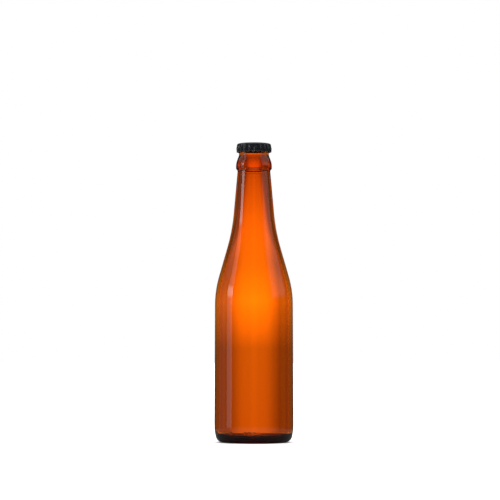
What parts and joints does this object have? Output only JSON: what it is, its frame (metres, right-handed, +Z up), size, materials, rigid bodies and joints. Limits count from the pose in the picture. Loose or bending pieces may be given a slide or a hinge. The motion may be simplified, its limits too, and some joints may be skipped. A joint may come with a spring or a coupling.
{
  "type": "beer bottle",
  "caption": "Amber glass beer bottle with sloping shoulders, a long neck, a reinforcing ring under the lip and a fluted black crown cap, shut and empty.",
  "frame": {"origin": "centre of the foot, on the surface that the bottle stands on", "axes": "+Z up along the bottle's axis, -Y towards the side that the picture shows"},
  "size_m": [0.06, 0.0601, 0.2274],
  "materials": {
    "amber_glass": "clear, fire-polished",
    "black_lacquer": "satin lacquer"
  },
  "bodies": {
    "root": {"glass_bottle": "amber_glass", "crown_cap": "black_lacquer"}
  },
  "joints": []
}
